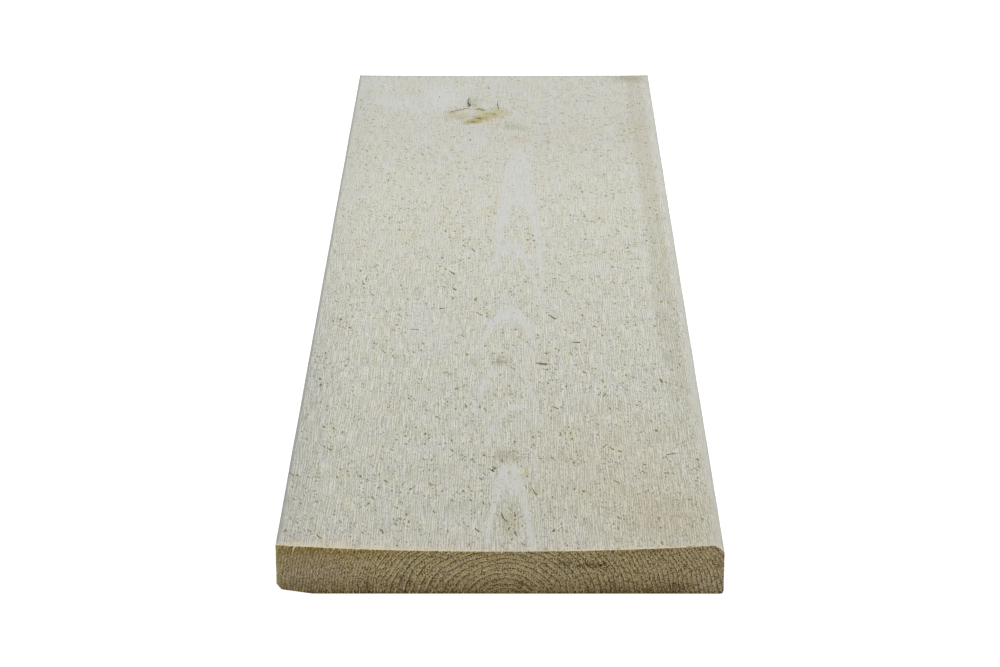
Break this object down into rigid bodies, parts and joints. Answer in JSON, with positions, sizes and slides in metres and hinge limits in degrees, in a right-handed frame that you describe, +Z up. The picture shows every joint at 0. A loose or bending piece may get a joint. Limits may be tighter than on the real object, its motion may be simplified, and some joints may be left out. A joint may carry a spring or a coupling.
{
  "type": "rough-sawn timber board",
  "caption": "Short rough-sawn timber board with a cupped top face, square-cut ends, one worn arris and a strip of wane.",
  "frame": {"origin": "middle of the underside", "axes": "+X across the board towards the worn arris, +Y along the board away from the cupped end, +Z up through the board from its underside to its sawn top face"},
  "size_m": [0.225, 0.9, 0.0267],
  "materials": {
    "sawn_wood": "rough-sawn, unplaned and untreated"
  },
  "bodies": {
    "root": {"plank": "sawn_wood"}
  },
  "joints": []
}
